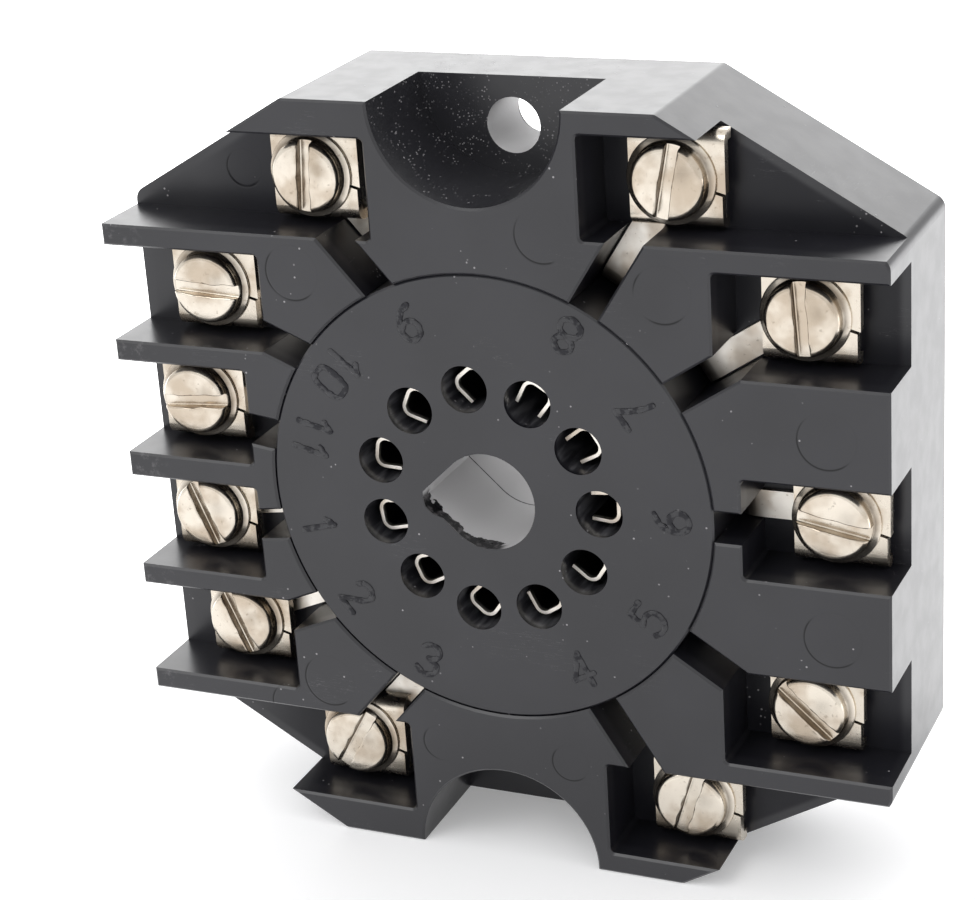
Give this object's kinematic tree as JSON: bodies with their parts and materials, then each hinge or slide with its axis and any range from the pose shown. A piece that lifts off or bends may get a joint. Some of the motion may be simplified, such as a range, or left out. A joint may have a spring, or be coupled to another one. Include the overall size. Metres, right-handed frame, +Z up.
{
  "type": "relay socket",
  "caption": "Screw-terminal relay socket: moulded base with a keyed pin-hole disc, folded contacts, clamp plates and slotted screws round the rim.",
  "frame": {"origin": "axis of the keyed bore at the flat back face, which seats on the panel", "axes": "-Y out of the front, where the relay plugs in; +Z up, towards one mounting hole; +X towards the level terminal, away from the key"},
  "size_m": [0.0658, 0.0164, 0.0644],
  "materials": {
    "black_plastic": "moulded thermoset, satin with glossy rib tops",
    "contact_metal": "nickel-plated sheet, bright",
    "plate_metal": "nickel-plated, bright with handling marks",
    "screw_metal": "nickel-plated, bright with driver marks"
  },
  "bodies": {
    "socket": {"base": "black_plastic", "pin_disc": "black_plastic", "contact_1": "contact_metal", "contact_2": "contact_metal", "contact_3": "contact_metal", "contact_4": "contact_metal", "contact_5": "contact_metal", "contact_6": "contact_metal", "contact_7": "contact_metal", "contact_8": "contact_metal", "contact_9": "contact_metal", "contact_10": "contact_metal", "contact_11": "contact_metal"},
    "clamp_1": {"clamp_plate_1": "plate_metal"},
    "screw_1": {"terminal_screw_1": "screw_metal"},
    "clamp_2": {"clamp_plate_2": "plate_metal"},
    "screw_2": {"terminal_screw_2": "screw_metal"},
    "clamp_3": {"clamp_plate_3": "plate_metal"},
    "screw_3": {"terminal_screw_3": "screw_metal"},
    "clamp_4": {"clamp_plate_4": "plate_metal"},
    "screw_4": {"terminal_screw_4": "screw_metal"},
    "clamp_5": {"clamp_plate_5": "plate_metal"},
    "screw_5": {"terminal_screw_5": "screw_metal"},
    "clamp_6": {"clamp_plate_6": "plate_metal"},
    "screw_6": {"terminal_screw_6": "screw_metal"},
    "clamp_7": {"clamp_plate_7": "plate_metal"},
    "screw_7": {"terminal_screw_7": "screw_metal"},
    "clamp_8": {"clamp_plate_8": "plate_metal"},
    "screw_8": {"terminal_screw_8": "screw_metal"},
    "clamp_9": {"clamp_plate_9": "plate_metal"},
    "screw_9": {"terminal_screw_9": "screw_metal"},
    "clamp_10": {"clamp_plate_10": "plate_metal"},
    "screw_10": {"terminal_screw_10": "screw_metal"},
    "clamp_11": {"clamp_plate_11": "plate_metal"},
    "screw_11": {"terminal_screw_11": "screw_metal"}
  },
  "joints": [
    {"name": "clamp_1_lift", "type": "slide", "parent": "socket", "child": "clamp_1", "axis": [0, -1, 0], "range_m": [0, 0.00198]},
    {"name": "screw_1_turn", "type": "hinge", "parent": "clamp_1", "child": "screw_1", "pos_m": [-0.02755, -0.0126, -0.00517], "axis": [0, -1, 0], "range_deg": [-9, 930]},
    {"name": "clamp_2_lift", "type": "slide", "parent": "socket", "child": "clamp_2", "axis": [0, -1, 0], "range_m": [0, 0.00198]},
    {"name": "screw_2_turn", "type": "hinge", "parent": "clamp_2", "child": "screw_2", "pos_m": [-0.02535, -0.0126, -0.01517], "axis": [0, -1, 0], "range_deg": [-9, 930]},
    {"name": "clamp_3_lift", "type": "slide", "parent": "socket", "child": "clamp_3", "axis": [0, -1, 0], "range_m": [0, 0.00198]},
    {"name": "screw_3_turn", "type": "hinge", "parent": "clamp_3", "child": "screw_3", "pos_m": [-0.01515, -0.0126, -0.02517], "axis": [0, -1, 0], "range_deg": [-9, 930]},
    {"name": "clamp_4_lift", "type": "slide", "parent": "socket", "child": "clamp_4", "axis": [0, -1, 0], "range_m": [0, 0.00198]},
    {"name": "screw_4_turn", "type": "hinge", "parent": "clamp_4", "child": "screw_4", "pos_m": [0.01515, -0.0126, -0.0263], "axis": [0, -1, 0], "range_deg": [-9, 930]},
    {"name": "clamp_5_lift", "type": "slide", "parent": "socket", "child": "clamp_5", "axis": [0, -1, 0], "range_m": [0, 0.00198]},
    {"name": "screw_5_turn", "type": "hinge", "parent": "clamp_5", "child": "screw_5", "pos_m": [0.02535, -0.0126, -0.0163], "axis": [0, -1, 0], "range_deg": [-9, 930]},
    {"name": "clamp_6_lift", "type": "slide", "parent": "socket", "child": "clamp_6", "axis": [0, -1, 0], "range_m": [0, 0.00198]},
    {"name": "screw_6_turn", "type": "hinge", "parent": "clamp_6", "child": "screw_6", "pos_m": [0.02755, -0.0126, 0], "axis": [0, -1, 0], "range_deg": [-9, 930]},
    {"name": "clamp_7_lift", "type": "slide", "parent": "socket", "child": "clamp_7", "axis": [0, -1, 0], "range_m": [0, 0.00198]},
    {"name": "screw_7_turn", "type": "hinge", "parent": "clamp_7", "child": "screw_7", "pos_m": [0.02535, -0.0126, 0.0163], "axis": [0, -1, 0], "range_deg": [-9, 930]},
    {"name": "clamp_8_lift", "type": "slide", "parent": "socket", "child": "clamp_8", "axis": [0, -1, 0], "range_m": [0, 0.00198]},
    {"name": "screw_8_turn", "type": "hinge", "parent": "clamp_8", "child": "screw_8", "pos_m": [0.01515, -0.0126, 0.0263], "axis": [0, -1, 0], "range_deg": [-9, 930]},
    {"name": "clamp_9_lift", "type": "slide", "parent": "socket", "child": "clamp_9", "axis": [0, -1, 0], "range_m": [0, 0.00198]},
    {"name": "screw_9_turn", "type": "hinge", "parent": "clamp_9", "child": "screw_9", "pos_m": [-0.01515, -0.0126, 0.02517], "axis": [0, -1, 0], "range_deg": [-9, 930]},
    {"name": "clamp_10_lift", "type": "slide", "parent": "socket", "child": "clamp_10", "axis": [0, -1, 0], "range_m": [0, 0.00198]},
    {"name": "screw_10_turn", "type": "hinge", "parent": "clamp_10", "child": "screw_10", "pos_m": [-0.02535, -0.0126, 0.01517], "axis": [0, -1, 0], "range_deg": [-9, 930]},
    {"name": "clamp_11_lift", "type": "slide", "parent": "socket", "child": "clamp_11", "axis": [0, -1, 0], "range_m": [0, 0.00198]},
    {"name": "screw_11_turn", "type": "hinge", "parent": "clamp_11", "child": "screw_11", "pos_m": [-0.02755, -0.0126, 0.00517], "axis": [0, -1, 0], "range_deg": [-9, 930]}
  ],
  "couplings": [
    {"joint": "screw_1_turn", "follows": "clamp_1_lift", "rad_per_m": 7915.8},
    {"joint": "screw_2_turn", "follows": "clamp_2_lift", "rad_per_m": 7915.8},
    {"joint": "screw_3_turn", "follows": "clamp_3_lift", "rad_per_m": 7915.8},
    {"joint": "screw_4_turn", "follows": "clamp_4_lift", "rad_per_m": 7915.8},
    {"joint": "screw_5_turn", "follows": "clamp_5_lift", "rad_per_m": 7915.8},
    {"joint": "screw_6_turn", "follows": "clamp_6_lift", "rad_per_m": 7915.8},
    {"joint": "screw_7_turn", "follows": "clamp_7_lift", "rad_per_m": 7915.8},
    {"joint": "screw_8_turn", "follows": "clamp_8_lift", "rad_per_m": 7915.8},
    {"joint": "screw_9_turn", "follows": "clamp_9_lift", "rad_per_m": 7915.8},
    {"joint": "screw_10_turn", "follows": "clamp_10_lift", "rad_per_m": 7915.8},
    {"joint": "screw_11_turn", "follows": "clamp_11_lift", "rad_per_m": 7915.8}
  ]
}
